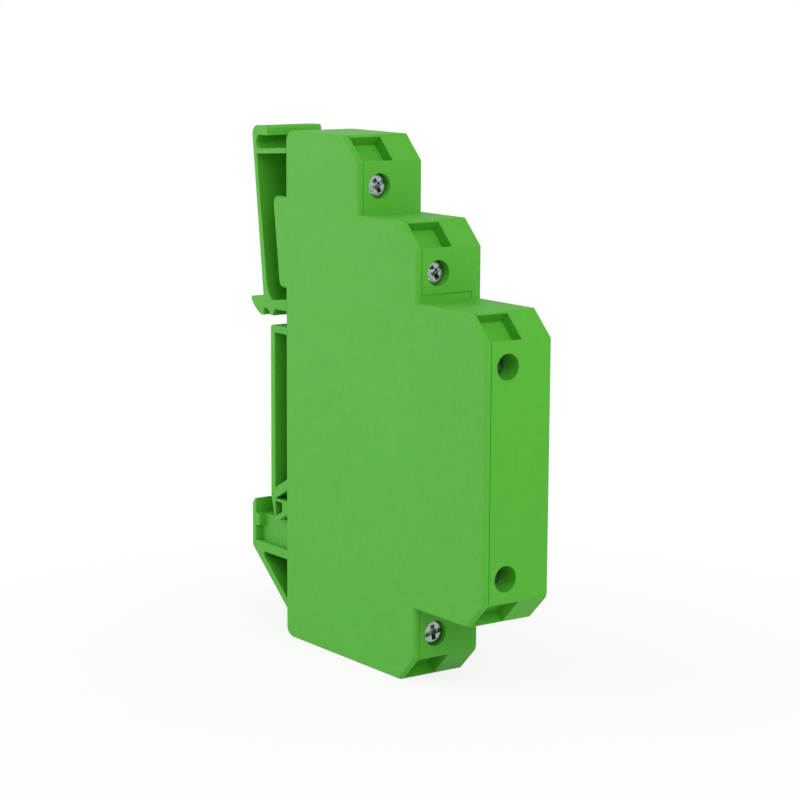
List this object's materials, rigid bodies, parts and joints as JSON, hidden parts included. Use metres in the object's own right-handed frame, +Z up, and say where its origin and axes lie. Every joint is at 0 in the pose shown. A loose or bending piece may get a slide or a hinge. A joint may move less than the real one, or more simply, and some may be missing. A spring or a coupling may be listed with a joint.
{
  "type": "din rail surge arrester",
  "caption": "Slim stepped surge protector module with screw terminals on tiers, slanted wire entries, a rail foot with a fixed lip and a tilting latch lever.",
  "frame": {"origin": "on the rail seat, at the rail's centre line and in the middle of the module's width", "axes": "+X points to the front of the module, away from the rail; +Y across its width, to the closed side; +Z up, along its height"},
  "size_m": [0.0683, 0.0126, 0.0874],
  "materials": {
    "case_green": "satin polyamide, bright green",
    "zinc_plated_steel": "zinc plated, clear",
    "tinned_copper": "tinned copper alloy",
    "board_laminate": "bare glass epoxy laminate",
    "tube_ceramic": "glazed ceramic with plated rims",
    "resistor_coat": "dull cement coat",
    "diode_epoxy": "moulded epoxy"
  },
  "bodies": {
    "case": {"main_shell": "case_green", "side_cover": "case_green", "circuit_board": "board_laminate", "gas_discharge_tube": "tube_ceramic", "decoupling_resistor_1": "resistor_coat", "decoupling_resistor_2": "resistor_coat", "suppressor_diode_1": "diode_epoxy", "suppressor_diode_2": "diode_epoxy", "contact_bar_1": "tinned_copper", "contact_bar_2": "tinned_copper", "contact_bar_3": "tinned_copper", "contact_bar_4": "tinned_copper", "contact_bar_5": "tinned_copper"},
    "latch": {"rail_latch": "case_green"},
    "screw_1": {"terminal_screw_1": "zinc_plated_steel"},
    "cage_1": {"clamp_cage_1": "zinc_plated_steel"},
    "screw_2": {"terminal_screw_2": "zinc_plated_steel"},
    "cage_2": {"clamp_cage_2": "zinc_plated_steel"},
    "screw_3": {"terminal_screw_3": "zinc_plated_steel"},
    "cage_3": {"clamp_cage_3": "zinc_plated_steel"},
    "screw_4": {"terminal_screw_4": "zinc_plated_steel"},
    "cage_4": {"clamp_cage_4": "zinc_plated_steel"},
    "screw_5": {"terminal_screw_5": "zinc_plated_steel"},
    "cage_5": {"clamp_cage_5": "zinc_plated_steel"}
  },
  "joints": [
    {"name": "latch_tilt", "type": "hinge", "parent": "case", "child": "latch", "pos_m": [0.0093, 0, 0.03355], "axis": [0, 1, 0], "range_deg": [0, 7], "stiffness_Nm_per_rad": 0.01, "springref_deg": -2.86},
    {"name": "screw_1_turn", "type": "hinge", "parent": "case", "child": "screw_1", "pos_m": [0.0248, -0.00205, 0.04059], "axis": [-1, 0, 0], "range_deg": [0, 1801]},
    {"name": "cage_1_rise", "type": "slide", "parent": "case", "child": "cage_1", "axis": [1, 0, 0], "range_m": [0, 0.0025]},
    {"name": "screw_2_turn", "type": "hinge", "parent": "case", "child": "screw_2", "pos_m": [0.041, -0.00205, 0.02799], "axis": [-1, 0, 0], "range_deg": [0, 1801]},
    {"name": "cage_2_rise", "type": "slide", "parent": "case", "child": "cage_2", "axis": [1, 0, 0], "range_m": [0, 0.0025]},
    {"name": "screw_3_turn", "type": "hinge", "parent": "case", "child": "screw_3", "pos_m": [0.059, -0.00205, 0.01539], "axis": [-1, 0, 0], "range_deg": [0, 1801]},
    {"name": "cage_3_rise", "type": "slide", "parent": "case", "child": "cage_3", "axis": [1, 0, 0], "range_m": [0, 0.0025]},
    {"name": "screw_4_turn", "type": "hinge", "parent": "case", "child": "screw_4", "pos_m": [0.059, -0.00205, -0.01779], "axis": [-1, 0, 0], "range_deg": [0, 1801]},
    {"name": "cage_4_rise", "type": "slide", "parent": "case", "child": "cage_4", "axis": [1, 0, 0], "range_m": [0, 0.0025]},
    {"name": "screw_5_turn", "type": "hinge", "parent": "case", "child": "screw_5", "pos_m": [0.041, -0.00205, -0.03039], "axis": [-1, 0, 0], "range_deg": [0, 1801]},
    {"name": "cage_5_rise", "type": "slide", "parent": "case", "child": "cage_5", "axis": [1, 0, 0], "range_m": [0, 0.0025]}
  ],
  "couplings": [
    {"joint": "screw_1_turn", "follows": "cage_1_rise", "rad_per_m": 12566},
    {"joint": "screw_2_turn", "follows": "cage_2_rise", "rad_per_m": 12566},
    {"joint": "screw_3_turn", "follows": "cage_3_rise", "rad_per_m": 12566},
    {"joint": "screw_4_turn", "follows": "cage_4_rise", "rad_per_m": 12566},
    {"joint": "screw_5_turn", "follows": "cage_5_rise", "rad_per_m": 12566}
  ]
}
